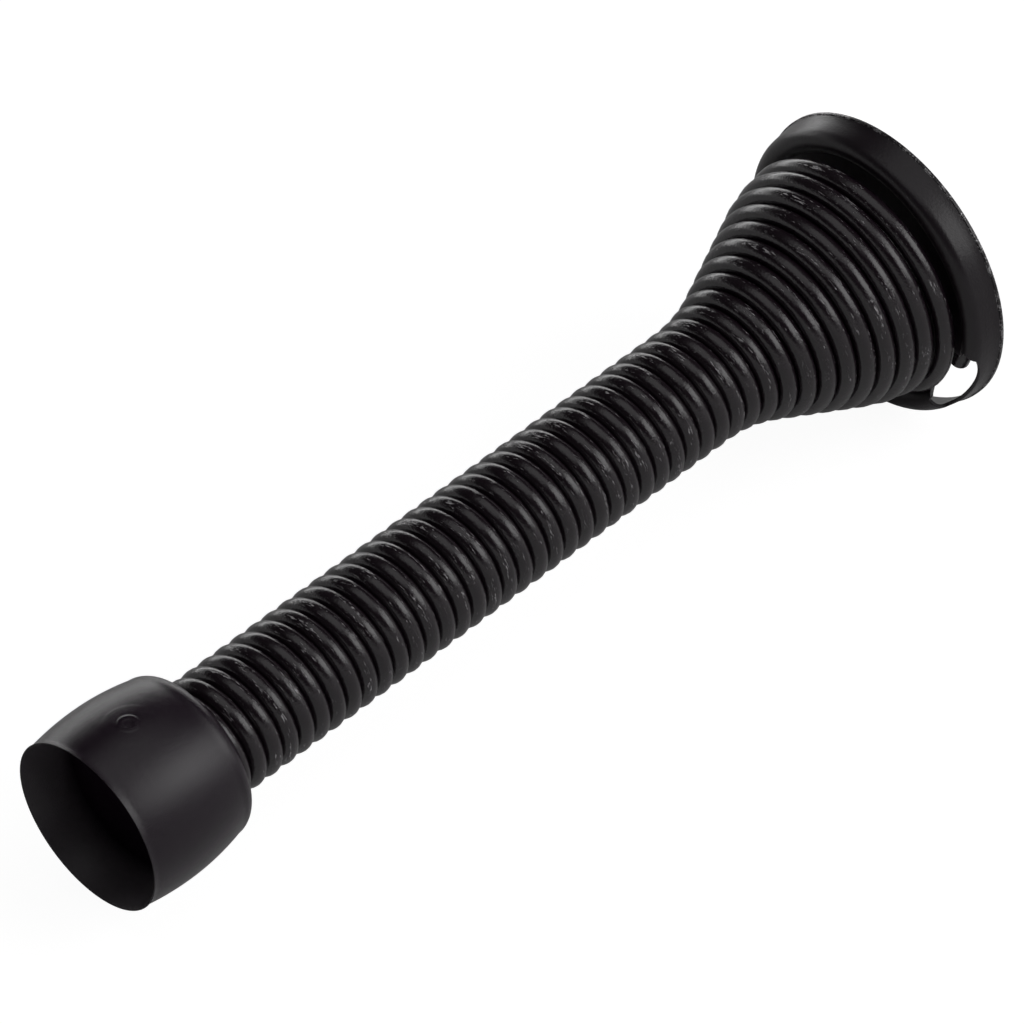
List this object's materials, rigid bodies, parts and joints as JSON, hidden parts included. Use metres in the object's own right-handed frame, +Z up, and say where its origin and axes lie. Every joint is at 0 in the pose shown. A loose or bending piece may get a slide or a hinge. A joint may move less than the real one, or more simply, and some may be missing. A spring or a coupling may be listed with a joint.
{
  "type": "spring door stop",
  "caption": "Black spring door stop: a close-wound wire spring flares into a stamped round wall flange and carries a hollow rubber bumper tip on its free end.",
  "frame": {"origin": "Centre of the flange's back, in the plane that lies against the wall, on the axis of the screw hole.", "axes": "The stop stands out from the wall along -Y, so +Y points into the wall. +Z is up and +X is to the right when facing the wall."},
  "size_m": [0.0256, 0.0854, 0.0256],
  "materials": {
    "flange": "satin black coating on stamped sheet steel, rubbed bright along the rim",
    "spring": "semi-gloss black coating on spring wire, scuffed along the crests of the turns",
    "tip": "matte black moulded rubber with a fine grain"
  },
  "bodies": {
    "root": {"base_flange": "flange", "spring": "spring", "bumper_tip": "tip"}
  },
  "joints": []
}
